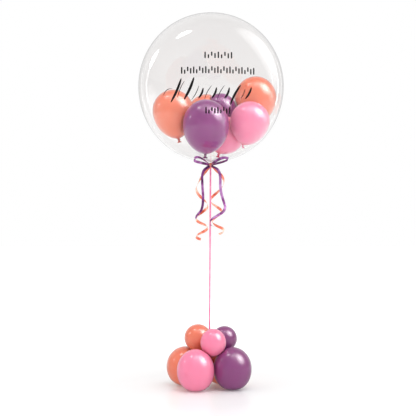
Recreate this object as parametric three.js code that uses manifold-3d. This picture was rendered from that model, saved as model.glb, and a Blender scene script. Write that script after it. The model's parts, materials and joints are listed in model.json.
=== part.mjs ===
// Clear bubble balloon on a ribbon stem, standing on a cluster of latex balloons.
// Millimetres, +Z up. The origin is on the floor under the bubble, and the front faces -Y.
import * as THREE from 'three';
import { mergeVertices } from 'three/addons/utils/BufferGeometryUtils.js';
import Module from 'manifold-3d';

const wasm = await Module();
wasm.setup();

// Driving dimensions.
const gap = 0.3;                  // left between pieces that touch
const bubble = {
  radius: 254,                    // a 20 inch film bubble
  centreZ: 1053,
  upperHeight: 260,               // centre to crown
  lowerHeight: 265,               // centre to the underside, before the gathered neck
  neckRadius: 3.5,
  neckEndZ: 776,
  gatherRadius: 24,               // where the film starts to draw in to the neck
  segments: 40,
  rows: 11,                       // above the widest line, and again below it
};
const knot = { x: -1.5, y: -8, z: 780.6, width: 10, depth: 8, height: 10 };
const loopRibbon = { width: 7, thickness: 1.4, step: 8 };
const tailRibbon = { width: 7, thickness: 1.4, step: 12.5 };
const stemRibbon = { width: 5, thickness: 0.8, step: 80 };
const ribbonSides = 8;
const stem = { top: [-1.5, 0, neckBelow(bubble)], bottom: [-6, 0, 92] };
const hub = { x: -6, y: 0 };      // the stem's foot, where the base balloons' necks meet
const neck = { radius: 3.2, lipRadius: 5, lipHeight: 3, reach: 10, largeZ: 82, smallZ: 106 };
const sinkIntoFloor = 2;          // how far a foot balloon flattens where it stands
const stemClearance = 3.5;
const touchingSlack = 3;          // balloons closer than this are parted by a flat

const colours = { coral: 0xf08a6c, pink: 0xfa94b4, purple: 0x8d5285, ribbonPurple: 0x6e2a70 };

// Base balloons: x and y from the hub, then half the width, half the height and the centre's z.
// A large one stands on the floor, so its centre's height follows from its own height.
const largeBalloons = [
  { name: 'base_balloon_pink', colour: 'pink', x: -46.8, y: -80, radius: 64.5, half: 73 },
  { name: 'base_balloon_purple', colour: 'purple', x: 80.3, y: -49, radius: 66, half: 74.5 },
  { name: 'base_balloon_coral_left', colour: 'coral', x: -83, y: 47, radius: 68, half: 70 },
  { name: 'base_balloon_coral_back', colour: 'coral', x: 47, y: 78, radius: 66, half: 70 },
];
const smallBalloons = [
  { name: 'top_balloon_pink', colour: 'pink', x: 13.6, y: -52, radius: 44.6, half: 48.2, z: 162.7 },
  { name: 'top_balloon_purple', colour: 'purple', x: 53.5, y: 17, radius: 43.9, half: 43.9, z: 169.2 },
  { name: 'top_balloon_coral', colour: 'coral', x: -39.8, y: 24, radius: 47.7, half: 47.7, z: 171.2 },
];

// Ribbon routes, as the points that each ribbon's centreline follows.
const bowLoopLeft = [
  [-6.7, -11, 782.8], [-11, -34, 784.8], [-17, -54, 789], [-27, -73, 795.2], [-38, -85, 800.5],
  [-49, -90.5, 802], [-56.5, -90.5, 797.5], [-56.5, -84, 790.5], [-47, -72, 786.5],
  [-33, -52, 783.7], [-19, -31, 781.5], [-7, -7, 779.4],
];
const bowLoopRight = [
  [3.7, -11, 782.8], [8, -34, 784.5], [14, -54, 788], [25, -72, 794], [37, -84, 798.8],
  [47.5, -90.5, 800.5], [56.5, -90, 798], [58, -82.5, 794], [48.5, -70.5, 789.5], [33, -52, 785],
  [17, -31, 781.8], [4, -7, 779.4],
];
const purpleTailLeft = [
  [-4.6, -9.5, 774.2], [-13, -10.5, 769.5], [-23.5, -12, 761], [-29, -13.5, 750], [-31, -15, 737],
  [-30.5, -16, 722], [-30, -17, 706], [-28.8, -17, 689], [-27.8, -16.5, 670], [-28, -16, 652],
  [-30, -15, 634], [-34.5, -13, 620], [-43.5, -11, 609], [-50.5, -9.5, 600], [-54, -8.5, 591],
];
const coralTailLeft = [
  [-3.6, -5, 773.6], [-10, -4.5, 766.5], [-20, -4, 754], [-29, -3, 743], [-38.5, -0.5, 727],
  [-47, 5, 711], [-52, 12.5, 696], [-47.5, 21.5, 681.5], [-37.5, 26, 668], [-25, 26.5, 656.5],
  [-14.5, 21.5, 645.5], [-11, 12.5, 635], [-17, 2.5, 625], [-31, -2, 613], [-45.5, 2.5, 601],
  [-52, 12.5, 589.5], [-46, 22.5, 580.5], [-31.5, 27, 573], [-17.5, 22.5, 566.5],
  [-12, 12.5, 558.5], [-17.5, 2.5, 550.5], [-31.5, -2, 542.5], [-46, 2.5, 535], [-52, 12.5, 527.5],
  [-47, 21.5, 521.5], [-36, 26.5, 517.5],
];
const purpleTailRight = [
  [1.6, -9.5, 774.2], [12, -10.5, 770], [22, -12, 763.5], [29, -14, 752], [32, -15, 738],
  [32.5, -16, 722], [32.5, -16.5, 706], [34, -16.5, 690], [37, -16, 675], [41, -15.5, 660],
  [46, -16, 645], [49, -18, 632.5], [46, -23, 620.5], [37.5, -29, 611], [25, -33, 603.5],
  [12, -32.5, 596], [1.5, -27.5, 588], [-4, -19, 579], [-1.5, -10, 570.5], [8, -4.5, 564.5],
];
const coralTailRight = [
  [0.6, -5, 773.6], [8, -4.5, 769], [17, -4, 760], [28.5, -3, 750.5], [39, 2.5, 739],
  [45.5, 12.5, 723], [42.5, 22.5, 706], [32, 29, 692.5], [18.5, 30, 680], [5.5, 25, 668],
  [-3, 15.5, 655.5], [3, 5, 644.5], [17, 0.5, 634.5], [31.5, 5, 624], [39, 15.5, 614],
  [34.5, 25, 606.5], [22.5, 30, 600], [10, 26, 591.5], [3, 15.5, 581], [9.5, 5, 572],
  [24, 1, 563.5], [39, 5, 556.5], [46, 15.5, 548.5], [40, 25.5, 541], [28, 30, 535.5],
];

// The line that each curled tail winds about, as x and y.
const curlLines = {
  purpleLeft: [-32, 30],
  coralLeft: [-31, 12.5],
  purpleRight: [22, 5],
  coralRight: [21, 15.5],
};

function neckBelow({ neckEndZ }) {
  return neckEndZ - 2 * gap;
}

function paint(colour, roughness, opacity = 1) {
  return new THREE.MeshStandardMaterial({
    color: colour,
    roughness,
    metalness: 0,
    transparent: opacity < 1,
    opacity,
  });
}

const clearFilm = () => paint(0xf4f2f1, 0.05, 0.2);
const latex = (colour) => paint(colours[colour], 0.2);
const pearlRibbon = (colour) => paint(colour, 0.35);

// A closed surface of revolution about Z, from [radius, z] points listed from the bottom up.
function turned(points, segments) {
  const profile = points.map(([radius, z]) => new THREE.Vector2(radius, z));
  return new THREE.LatheGeometry(profile, segments).rotateX(Math.PI / 2);
}

// Points on a quarter ellipse: an angle of 0 is the widest line, and 90 degrees is the pole.
function ellipsePoints({ radius, half, centre, from, to, count }) {
  const points = [];
  for (let i = 0; i <= count; i += 1) {
    const angle = from + (to - from) * (i / count);
    points.push([radius * Math.cos(angle), centre + half * Math.sin(angle)]);
  }
  return points;
}

function curvePoints(curve, count) {
  return curve.getPoints(count).map(({ x, y }) => [x, y]);
}

// The bubble is a sealed film, modelled as one solid that tapers to its gathered neck.
function bubbleSolid() {
  const { radius, centreZ, upperHeight, lowerHeight, neckRadius, neckEndZ, gatherRadius } = bubble;
  const gatherAngle = Math.acos(gatherRadius / radius);
  const gatherZ = centreZ - lowerHeight * Math.sin(gatherAngle);
  const drawIn = new THREE.QuadraticBezierCurve(
    new THREE.Vector2(neckRadius, gatherZ - 4),
    new THREE.Vector2(neckRadius, gatherZ - 1),
    new THREE.Vector2(gatherRadius, gatherZ),
  );
  const lower = ellipsePoints({
    radius, half: lowerHeight, centre: centreZ, from: -gatherAngle, to: 0, count: bubble.rows,
  });
  const upper = ellipsePoints({
    radius, half: upperHeight, centre: centreZ, from: 0, to: Math.PI / 2, count: bubble.rows,
  });
  upper[bubble.rows][0] = 0;
  return turned([
    [0, neckEndZ],
    [neckRadius, neckEndZ],
    ...curvePoints(drawIn, 4),
    ...lower.slice(1),
    ...upper.slice(1),
  ], bubble.segments);
}

// A filled balloon about its own centre, crown up and neck down, with its rolled lip at the tip.
function balloonProfile(radius, tipDistance, rows) {
  const shoulder = THREE.MathUtils.degToRad(-46);
  const shoulderX = radius * Math.cos(shoulder);
  const shoulderZ = radius * Math.sin(shoulder);
  const lipTop = -tipDistance + neck.lipHeight;
  const taper = new THREE.CubicBezierCurve(
    new THREE.Vector2(neck.radius, lipTop + 1),
    new THREE.Vector2(neck.radius, -radius * 1.02),
    new THREE.Vector2(shoulderX * 0.6, shoulderZ - shoulderX * 0.4),
    new THREE.Vector2(shoulderX, shoulderZ),
  );
  const body = ellipsePoints({
    radius, half: radius, centre: 0, from: shoulder, to: Math.PI / 2, count: rows,
  });
  body[rows][0] = 0;
  return [
    [0, -tipDistance],
    [neck.lipRadius, -tipDistance],
    [neck.lipRadius, lipTop],
    ...curvePoints(taper, 6),
    ...body.slice(1),
  ];
}

// Turns a closed geometry into a solid that can be cut.
function solidFrom(geometry) {
  const bare = geometry.clone();
  bare.deleteAttribute('normal');
  bare.deleteAttribute('uv');
  const merged = mergeVertices(bare, 1e-4);
  const index = merged.index.array;
  const triangles = [];
  for (let i = 0; i < index.length; i += 3) {
    const [a, b, c] = [index[i], index[i + 1], index[i + 2]];
    if (a !== b && b !== c && c !== a) triangles.push(a, b, c);
  }
  return new wasm.Manifold(new wasm.Mesh({
    numProp: 3,
    vertProperties: new Float32Array(merged.attributes.position.array),
    triVerts: new Uint32Array(triangles),
  }));
}

function geometryFrom(solid) {
  const mesh = solid.getMesh();
  const geometry = new THREE.BufferGeometry();
  geometry.setAttribute('position', new THREE.BufferAttribute(mesh.vertProperties, 3));
  geometry.setIndex(new THREE.BufferAttribute(mesh.triVerts, 1));
  geometry.computeVertexNormals();
  return geometry;
}

// A large block whose near face lies on a plane, on the side that the plane's normal points to.
function blockBeyond(point, normal) {
  const size = 400;
  const block = new THREE.BoxGeometry(size, size, size).translate(0, 0, size / 2);
  const turn = new THREE.Quaternion().setFromUnitVectors(new THREE.Vector3(0, 0, 1), normal);
  return block.applyQuaternion(turn).translate(point.x, point.y, point.z);
}

function centreOf({ x, y, z, half }) {
  return new THREE.Vector3(hub.x + x, hub.y + y, z ?? half - sinkIntoFloor);
}

// How far a balloon's own surface lies from its centre along a direction.
function reachAlong({ radius, half }, direction) {
  const across = Math.hypot(direction.x, direction.y) / radius;
  return 1 / Math.hypot(across, direction.z / half);
}

// Where two balloons press, both are flat against one plane between them.
function pressPlane(one, other) {
  const centre = centreOf(one);
  const normal = centreOf(other).sub(centre);
  const distance = normal.length();
  normal.normalize();
  const near = reachAlong(one, normal);
  const far = reachAlong(other, normal);
  const slack = distance - near - far;
  const face = near + slack / 2 - gap / 2;
  return { slack, point: centre.addScaledVector(normal, face), normal };
}

// A base balloon: its neck runs to the hub, and it is flat where it meets a neighbour, the
// floor or the stem's channel.
function baseBalloonSolid(balloon, neighbours, { neckZ, segments, rows, foot }) {
  const centre = centreOf(balloon);
  const hubAxis = new THREE.Vector3(hub.x, hub.y, centre.z);
  const inward = new THREE.Vector3(-balloon.x, -balloon.y, 0).normalize();
  const down = new THREE.Vector3(0, 0, -1);
  const stretch = balloon.half / balloon.radius;
  const toTip = new THREE.Vector3(hub.x, hub.y, neckZ)
    .addScaledVector(inward, -neck.reach)
    .sub(centre);
  toTip.z /= stretch;
  const tipDistance = toTip.length();
  const geometry = turned(balloonProfile(balloon.radius, tipDistance, rows), segments)
    .applyQuaternion(new THREE.Quaternion().setFromUnitVectors(down, toTip.normalize()))
    .scale(1, 1, stretch)
    .translate(centre.x, centre.y, centre.z);
  const flats = neighbours
    .map((neighbour) => pressPlane(balloon, neighbour))
    .filter(({ slack }) => slack < touchingSlack);
  flats.push({ point: hubAxis.addScaledVector(inward, -stemClearance), normal: inward });
  if (foot) flats.push({ point: new THREE.Vector3(centre.x, centre.y, 0), normal: down });
  return flats.reduce(
    (solid, { point, normal }) => solid.subtract(solidFrom(blockBeyond(point, normal))),
    solidFrom(geometry),
  );
}

// A flat ribbon along a smooth curve. acrossAt gives the direction of its width at each point.
class RibbonPath extends THREE.CatmullRomCurve3 {
  constructor(points, acrossAt) {
    super(points.map((point) => new THREE.Vector3(...point)), false, 'centripetal');
    this.acrossAt = acrossAt;
  }

  computeFrenetFrames(segments) {
    const frames = { tangents: [], normals: [], binormals: [] };
    for (let i = 0; i <= segments; i += 1) {
      const tangent = this.getTangentAt(i / segments);
      const across = this.acrossAt(this.getPointAt(i / segments), tangent);
      across.addScaledVector(tangent, -across.dot(tangent)).normalize();
      frames.tangents.push(tangent);
      frames.normals.push(across);
      frames.binormals.push(new THREE.Vector3().crossVectors(tangent, across));
    }
    return frames;
  }
}

// A ribbon's section: a flat oval with eight sides.
function ribbonSection({ width, thickness }) {
  const oval = new THREE.EllipseCurve(0, 0, width / 2, thickness / 2);
  return new THREE.Shape(oval.getPoints(ribbonSides).slice(0, ribbonSides));
}

function ribbonGeometry(points, ribbon, acrossAt) {
  const extrudePath = new RibbonPath(points, acrossAt);
  const steps = Math.round(extrudePath.getLength() / ribbon.step);
  return new THREE.ExtrudeGeometry(ribbonSection(ribbon), { steps, extrudePath });
}

// A curled tail turns its flat side away from the line that it winds about.
function curledAbout([x, y]) {
  return (point, tangent) => {
    const outward = new THREE.Vector3(point.x - x, point.y - y, 0).normalize();
    return outward.cross(tangent);
  };
}

const onEdge = () => new THREE.Vector3(0, 0, 1);
const facingFront = () => new THREE.Vector3(1, 0, 0);

// The bow's centre, a wrapped knot that is wider at its middle.
function knotGeometry() {
  const { x, y, z, width, depth, height } = knot;
  const shoulder = 0.62;
  const profile = [
    [0, -0.5],
    [0.5 * shoulder, -0.5],
    [0.5, -0.22],
    [0.5, 0.22],
    [0.5 * shoulder, 0.5],
    [0, 0.5],
  ];
  return turned(profile, 16).scale(width, depth, height).translate(x, y, z);
}

function named(name, geometry, material) {
  const mesh = new THREE.Mesh(geometry, material);
  mesh.name = name;
  return mesh;
}

function baseBalloons() {
  const cluster = new THREE.Group();
  const all = [...largeBalloons, ...smallBalloons];
  const others = (balloon) => all.filter((other) => other !== balloon);
  for (const balloon of largeBalloons) {
    const finish = { neckZ: neck.largeZ, segments: 20, rows: 11, foot: true };
    const solid = baseBalloonSolid(balloon, others(balloon), finish);
    cluster.add(named(balloon.name, geometryFrom(solid), latex(balloon.colour)));
  }
  for (const balloon of smallBalloons) {
    const finish = { neckZ: neck.smallZ, segments: 16, rows: 8, foot: false };
    const solid = baseBalloonSolid(balloon, others(balloon), finish);
    cluster.add(named(balloon.name, geometryFrom(solid), latex(balloon.colour)));
  }
  return cluster;
}

function bow() {
  const { coral, ribbonPurple } = colours;
  const tails = [
    ['purple_tail_left', purpleTailLeft, curlLines.purpleLeft, ribbonPurple],
    ['coral_tail_left', coralTailLeft, curlLines.coralLeft, coral],
    ['purple_tail_right', purpleTailRight, curlLines.purpleRight, ribbonPurple],
    ['coral_tail_right', coralTailRight, curlLines.coralRight, coral],
  ];
  const loops = [['bow_loop_left', bowLoopLeft], ['bow_loop_right', bowLoopRight]];
  const pieces = new THREE.Group();
  pieces.add(named('bow_knot', knotGeometry(), pearlRibbon(coral)));
  for (const [name, route] of loops) {
    const geometry = ribbonGeometry(route, loopRibbon, onEdge);
    pieces.add(named(name, geometry, pearlRibbon(ribbonPurple)));
  }
  for (const [name, route, line, colour] of tails) {
    const geometry = ribbonGeometry(route, tailRibbon, curledAbout(line));
    pieces.add(named(name, geometry, pearlRibbon(colour)));
  }
  return pieces;
}

function stemPiece() {
  const geometry = ribbonGeometry([stem.top, stem.bottom], stemRibbon, facingFront);
  return named('stem_ribbon', geometry, pearlRibbon(colours.pink));
}

const group = new THREE.Group();
group.add(named('bubble', bubbleSolid(), clearFilm()));
group.add(bow());
group.add(stemPiece());
group.add(baseBalloons());

export default group;
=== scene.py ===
import json
import math

import bmesh
import bpy
import numpy as np
from mathutils import Matrix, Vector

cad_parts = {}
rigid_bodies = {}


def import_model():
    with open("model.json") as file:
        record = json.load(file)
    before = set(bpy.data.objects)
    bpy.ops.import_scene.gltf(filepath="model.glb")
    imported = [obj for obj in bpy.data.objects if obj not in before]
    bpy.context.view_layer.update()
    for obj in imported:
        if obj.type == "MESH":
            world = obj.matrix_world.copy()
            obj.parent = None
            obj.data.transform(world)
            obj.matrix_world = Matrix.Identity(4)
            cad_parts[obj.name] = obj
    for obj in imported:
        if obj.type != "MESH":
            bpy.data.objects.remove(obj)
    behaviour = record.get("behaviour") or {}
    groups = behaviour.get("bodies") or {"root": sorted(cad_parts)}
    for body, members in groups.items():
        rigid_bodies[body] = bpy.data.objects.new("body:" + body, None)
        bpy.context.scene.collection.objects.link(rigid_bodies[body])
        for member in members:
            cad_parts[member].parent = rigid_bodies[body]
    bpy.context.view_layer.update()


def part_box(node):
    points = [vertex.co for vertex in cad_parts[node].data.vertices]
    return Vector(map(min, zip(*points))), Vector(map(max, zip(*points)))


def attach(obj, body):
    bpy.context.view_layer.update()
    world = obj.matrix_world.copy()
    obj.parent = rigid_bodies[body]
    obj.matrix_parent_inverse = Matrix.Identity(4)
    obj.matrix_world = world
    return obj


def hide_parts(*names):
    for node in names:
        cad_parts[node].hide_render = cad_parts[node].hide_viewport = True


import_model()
scene = bpy.context.scene
mm = 0.001

# the camera stands level in front, and sees as far as sight
cameraLook = {"place": (-0.0105, -3.9, 0.628), "lens": 96.4, "sensor": 36.0, "sight": 60}


def makeCamera():
    data = bpy.data.cameras.new("camera")
    data.lens = cameraLook["lens"]
    data.sensor_width = cameraLook["sensor"]
    data.clip_end = cameraLook["sight"]
    camera = bpy.data.objects.new("camera", data)
    camera.location = cameraLook["place"]
    camera.rotation_euler = (math.pi / 2, 0, 0)
    scene.collection.objects.link(camera)
    scene.camera = camera


makeCamera()
scene.view_settings.view_transform = "Standard"
print("camera set")


def grid(points, across=None, along=None, **values):
    # One closed-sideways surface: rows run along it, columns run round it.
    rows, around = points.shape[:2]
    across = np.linspace(0, 1, around + 1) if across is None else across
    along = np.linspace(0, 1, rows) if along is None else along
    return {"points": points, "across": across, "along": along, "values": values}


def gridQuads(rows, around, first):
    # The quads between neighbouring rows, where the last column joins the first. The vertices are
    # numbered row by row from first.
    index = first + np.arange(rows * around).reshape(rows, around)
    beside = np.roll(index, -1, axis=1)
    return np.stack([index[:-1], beside[:-1], beside[1:], index[1:]], axis=-1).reshape(-1, 4)


def gridCorners(part):
    # The pattern coordinates of each quad's four corners, in the same order as gridQuads.
    u, v = np.meshgrid(part["across"], part["along"])
    corners = np.stack([u, v], axis=-1)
    return np.stack(
        [corners[:-1, :-1], corners[:-1, 1:], corners[1:, 1:], corners[1:, :-1]], axis=2
    ).reshape(-1, 2)


weldDistance = 2e-7  # metres


def closeUp(mesh, keepTurn):
    # Joins poles and seams, and turns the faces outwards.
    work = bmesh.new()
    work.from_mesh(mesh)
    bmesh.ops.remove_doubles(work, verts=work.verts, dist=weldDistance)
    if not keepTurn:
        bmesh.ops.recalc_face_normals(work, faces=work.faces)
    work.to_mesh(mesh)
    work.free()


def makePiece(name, parts, material, sharp=None, keepTurn=False):
    # One piece from one or more grids. Edges folded by more than sharp degrees stay crisp.
    mesh = bpy.data.meshes.new(name)
    counts = [part["points"].shape[0] * part["points"].shape[1] for part in parts]
    firsts = np.concatenate([[0], np.cumsum(counts)[:-1]]).astype(int)
    vertices = np.concatenate([part["points"].reshape(-1, 3) for part in parts])
    quads = np.concatenate(
        [gridQuads(*part["points"].shape[:2], first) for part, first in zip(parts, firsts)]
    )
    mesh.from_pydata(vertices, [], quads)
    pattern = mesh.uv_layers.new(name="pattern")
    pattern.uv.foreach_set("vector", np.concatenate([gridCorners(p) for p in parts]).ravel())
    for key in parts[0]["values"]:
        field = mesh.attributes.new(key, "FLOAT", "POINT")
        field.data.foreach_set("value", np.concatenate([p["values"][key].ravel() for p in parts]))
    closeUp(mesh, keepTurn)
    mesh.polygons.foreach_set("use_smooth", np.ones(len(mesh.polygons), bool))
    if sharp:
        mesh.set_sharp_from_angle(angle=math.radians(sharp))
    mesh.materials.append(material)
    piece = bpy.data.objects.new(name, mesh)
    scene.collection.objects.link(piece)
    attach(piece, "root")
    return piece


def unit(v):
    return v / np.linalg.norm(v, axis=-1, keepdims=True)


def ease(x, start, end):
    # Rises smoothly from 0 at start to 1 at end.
    t = np.clip((x - start) / (end - start), 0, 1)
    return t * t * (3 - 2 * t)


def softOver(excess, rounding):
    # The positive part of a value, with its corner rounded off.
    return (excess + np.sqrt(excess**2 + rounding**2)) / 2


def turned(ring, z, angle):
    # Points at each radius and height, turned through the angles about the upright axis.
    return np.stack(
        [ring * np.cos(angle), ring * np.sin(angle), np.broadcast_to(z[:, None], ring.shape)],
        axis=-1,
    )


def newMaterial(name):
    material = bpy.data.materials.new(name)
    material.use_nodes = True
    nodes = material.node_tree.nodes
    return material, nodes, material.node_tree.links, nodes["Principled BSDF"]


def setInputs(node, values):
    for name, value in values.items():
        node.inputs[name].default_value = value


def addNode(nodes, kind, place, **settings):
    # A shader node. Each setting goes to the input of that name, or else to the node itself.
    node = nodes.new("ShaderNode" + kind)
    node.location = place
    for key, value in settings.items():
        if key in node.inputs:
            node.inputs[key].default_value = value
        else:
            setattr(node, key, value)
    return node


def addMath(nodes, place, operation, second=0.5, clamp=False):
    node = addNode(nodes, "Math", place, operation=operation, use_clamp=clamp)
    node.inputs[1].default_value = second
    return node


def addMix(nodes, place, first, second):
    # A blend of two colours, which a factor moves from the first to the second.
    node = addNode(nodes, "Mix", place, data_type="RGBA")
    node.inputs[6].default_value, node.inputs[7].default_value = (*first, 1), (*second, 1)
    return node


def addRamp(nodes, place, first, second):
    # A ramp of colours, and the ramp's settings.
    node = addNode(nodes, "ValToRGB", place)
    ramp = node.color_ramp
    ramp.elements[0].color, ramp.elements[1].color = (*first, 1), (*second, 1)
    return node, ramp


def rangeNode(nodes, place, low, high, start=0.0, stop=1.0):
    # What lies between start and stop is spread between low and high.
    limits = {"From Min": start, "From Max": stop, "To Min": low, "To Max": high}
    return addNode(nodes, "MapRange", place, **limits)


def joinAll(links, *joins):
    # Each join is a node and its output, then a node and its input.
    for giver, output, taker, into in joins:
        links.new(giver.outputs[output], taker.inputs[into])


def addNoise(nodes, links, coordinates, place, scale, detail):
    # Cloudy noise in the object's own space.
    noise = addNode(nodes, "TexNoise", place, Scale=scale, Detail=detail)
    links.new(coordinates.outputs["Object"], noise.inputs["Vector"])
    return noise


def roughenBy(nodes, links, noise, limits, skin):
    # The roughness follows the noise between its limits.
    gloss = rangeNode(nodes, (-450, -150), *limits)
    joinAll(links, (noise, "Fac", gloss, "Value"), (gloss, "Result", skin, "Roughness"))


def raiseBy(nodes, links, pattern, strength, depth, skin):
    bump = addNode(nodes, "Bump", (-300, -350), Strength=strength, Distance=depth)
    joinAll(links, (pattern, "Fac", bump, "Height"), (bump, "Normal", skin, "Normal"))


# noise is given as its scale and detail, and relief as its strength and its depth in metres
latexLook = {
    "bloom": (26.0, 3.0), "tone": (0.965, 1.035), "rough": (0.3, 0.4), "grain": (900.0, 2.0),
    "relief": (0.05, 0.0004),
}
latexShine = {
    "IOR": 1.5, "Subsurface Weight": 0.3, "Subsurface Radius": (1.0, 0.5, 0.6),
    "Subsurface Scale": 0.02, "Coat Weight": 0.9, "Coat Roughness": 0.1,
}


def latexMaterial(name, colour, dense):
    # Stretched latex: the colour deepens where the skin is thick, and a faint bloom mottles it.
    look = latexLook
    material, nodes, links, skin = newMaterial(name)
    place = addNode(nodes, "TexCoord", (-1100, 0))
    thick = addNode(nodes, "Attribute", (-1100, 300), attribute_name="thickness")
    bloom = addNoise(nodes, links, place, (-900, 0), *look["bloom"])
    deep = addMix(nodes, (-500, 250), colour, dense)
    tone = rangeNode(nodes, (-700, 0), *look["tone"])
    shade = addNode(nodes, "HueSaturation", (-300, 200))
    joinAll(
        links,
        (thick, "Fac", deep, "Factor"), (bloom, "Fac", tone, "Value"), (deep, 2, shade, "Color"),
        (tone, "Result", shade, "Value"), (shade, "Color", skin, "Base Color"),
    )
    grain = addNoise(nodes, links, place, (-900, -350), *look["grain"])
    roughenBy(nodes, links, bloom, look["rough"], skin)
    raiseBy(nodes, links, grain, *look["relief"], skin)
    setInputs(skin, latexShine)
    return material


# ribs are given as their scale and wander, and the painted sheen of the pale attribute goes into
# the tone times the factor for the turns
pearlLook = {
    "ribs": (2.6, 0.4), "drift": (45.0, 2.0), "middleTone": 0.4, "sheenAtTurns": 0.75,
    "driftFrom": 0.38, "driftTo": 0.7, "driftShare": 0.7, "rough": (0.26, 0.4),
    "relief": (0.25, 0.0002),
}
pearlShine = {"Coat Weight": 0.2, "Coat Roughness": 0.15}


def pearlMaterial(name, deep, colour, glow, metal):
    # Curling ribbon: fine ribs run lengthwise under a pearly coat, and the tone drifts at random
    # from deep to glowing. The pale attribute adds a painted sheen, which pushes the tone to the
    # glow colour where the ribbon turns and in set spans along it.
    look = pearlLook
    material, nodes, links, skin = newMaterial(name)
    place = addNode(nodes, "TexCoord", (-1200, 0))
    # the pale attribute is painted sheen, set where the ribbon turns and in spans along it
    paintedSheen = addNode(nodes, "Attribute", (-800, 350), attribute_name="pale")
    scale, wander = look["ribs"]
    ribs = addNode(nodes, "TexWave", (-800, -250), Scale=scale, Distortion=wander)
    drift = addNoise(nodes, links, place, (-800, 100), *look["drift"])
    tint, ramp = addRamp(nodes, (-300, 200), deep, glow)
    ramp.elements.new(look["middleTone"]).color = (*colour, 1)
    share = addMath(nodes, (-450, 200), "MULTIPLY_ADD", look["sheenAtTurns"])
    spread = rangeNode(
        nodes, (-600, 100), 0.0, look["driftShare"], look["driftFrom"], look["driftTo"]
    )
    joinAll(
        links,
        (place, "UV", ribs, "Vector"), (drift, "Fac", spread, "Value"), (paintedSheen, "Fac", share, 0),
        (spread, "Result", share, 2), (share, "Value", tint, "Fac"),
        (tint, "Color", skin, "Base Color"),
    )
    roughenBy(nodes, links, drift, look["rough"], skin)
    raiseBy(nodes, links, ribs, *look["relief"], skin)
    setInputs(skin, {"Metallic": metal, **pearlShine})
    return material


# each ribbon's deep tone, its colour, its glow, which is the pale tone that the painted sheen
# reaches, and how metallic it is
pearlTones = {
    "purple": ((0.06, 0.005, 0.065), (0.23, 0.035, 0.22), (0.56, 0.27, 0.58), 0.2),
    "coral": ((0.7, 0.11, 0.05), (0.86, 0.25, 0.155), (0.97, 0.66, 0.5), 0.1),
    "pink": ((0.78, 0.16, 0.34), (0.86, 0.25, 0.42), (0.93, 0.48, 0.62), 0.05),
}
pearlOf = {name: pearlMaterial(name + "Ribbon", *tones) for name, tones in pearlTones.items()}

# the ribbons, in millimetres: slant is how far the cut end runs on, and lean turns the flat side
# in degrees
ribbonLook = {
    "width": 9.4, "thick": 0.36, "ribs": 7, "ribDepth": 0.05, "acrossPoints": 22,
    "step": 1.4, "pathStep": 3.0, "slant": 3.0, "lean": 26,
}
stemLook = {
    "width": 5.8, "thick": 0.34, "ribs": 5, "ribDepth": 0.05, "acrossPoints": 18,
    "step": 2.0, "pathStep": 6.0, "slant": 0.0, "lean": 0,
}
# the line that each ribbon follows, in millimetres
ribbonRoutes = {
    "bowLoopLeft": [
        (-6.7, -11, 782.8), (-11, -34, 784.8), (-17, -54, 789), (-27, -73, 795.2),
        (-38, -85, 800.5), (-49, -90.5, 802), (-56.5, -90.5, 797.5), (-56.5, -84, 790.5),
        (-47, -72, 786.5), (-33, -52, 783.7), (-19, -31, 781.5), (-7, -7, 779.4),
    ],
    "bowLoopRight": [
        (3.7, -11, 782.8), (8, -34, 784.5), (14, -54, 788), (25, -72, 794),
        (37, -84, 798.8), (47.5, -90.5, 800.5), (56.5, -90, 798), (58, -82.5, 794),
        (48.5, -70.5, 789.5), (33, -52, 785), (17, -31, 781.8), (4, -7, 779.4),
    ],
    "purpleTailLeft": [
        (-4.6, -9.5, 774.2), (-13, -10.5, 769.5), (-23.5, -12, 761), (-29, -13.5, 750),
        (-31, -15, 737), (-30.5, -16, 722), (-30, -17, 706), (-28.8, -17, 689),
        (-27.8, -16.5, 670), (-28, -16, 652), (-30, -15, 634), (-34.5, -13, 620),
        (-43.5, -11, 609), (-50.5, -9.5, 600), (-54, -8.5, 591),
    ],
    "coralTailLeft": [
        (-3.6, -5, 773.6), (-10, -4.5, 766.5), (-20, -4, 754), (-29, -3, 743),
        (-38.5, -0.5, 727), (-47, 5, 711), (-52, 12.5, 696), (-47.5, 21.5, 681.5),
        (-37.5, 26, 668), (-25, 26.5, 656.5), (-14.5, 21.5, 645.5), (-11, 12.5, 635),
        (-17, 2.5, 625), (-31, -2, 613), (-45.5, 2.5, 601), (-52, 12.5, 589.5),
        (-46, 22.5, 580.5), (-31.5, 27, 573), (-17.5, 22.5, 566.5), (-12, 12.5, 558.5),
        (-17.5, 2.5, 550.5), (-31.5, -2, 542.5), (-46, 2.5, 535), (-52, 12.5, 527.5),
        (-47, 21.5, 521.5), (-36, 26.5, 517.5),
    ],
    "purpleTailRight": [
        (1.6, -9.5, 774.2), (12, -10.5, 770), (22, -12, 763.5), (29, -14, 752),
        (32, -15, 738), (32.5, -16, 722), (32.5, -16.5, 706), (34, -16.5, 690),
        (37, -16, 675), (41, -15.5, 660), (46, -16, 645), (49, -18, 632.5),
        (46, -23, 620.5), (37.5, -29, 611), (25, -33, 603.5), (12, -32.5, 596),
        (1.5, -27.5, 588), (-4, -19, 579), (-1.5, -10, 570.5), (8, -4.5, 564.5),
    ],
    "coralTailRight": [
        (0.6, -5, 773.6), (8, -4.5, 769), (17, -4, 760), (28.5, -3, 750.5),
        (39, 2.5, 739), (45.5, 12.5, 723), (42.5, 22.5, 706), (32, 29, 692.5),
        (18.5, 30, 680), (5.5, 25, 668), (-3, 15.5, 655.5), (3, 5, 644.5),
        (17, 0.5, 634.5), (31.5, 5, 624), (39, 15.5, 614), (34.5, 25, 606.5),
        (22.5, 30, 600), (10, 26, 591.5), (3, 15.5, 581), (9.5, 5, 572),
        (24, 1, 563.5), (39, 5, 556.5), (46, 15.5, 548.5), (40, 25.5, 541), (28, 30, 535.5),
    ],
    "stem": [(-1.5, 0, 775.4), (-6, 0, 92)],
}
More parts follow.
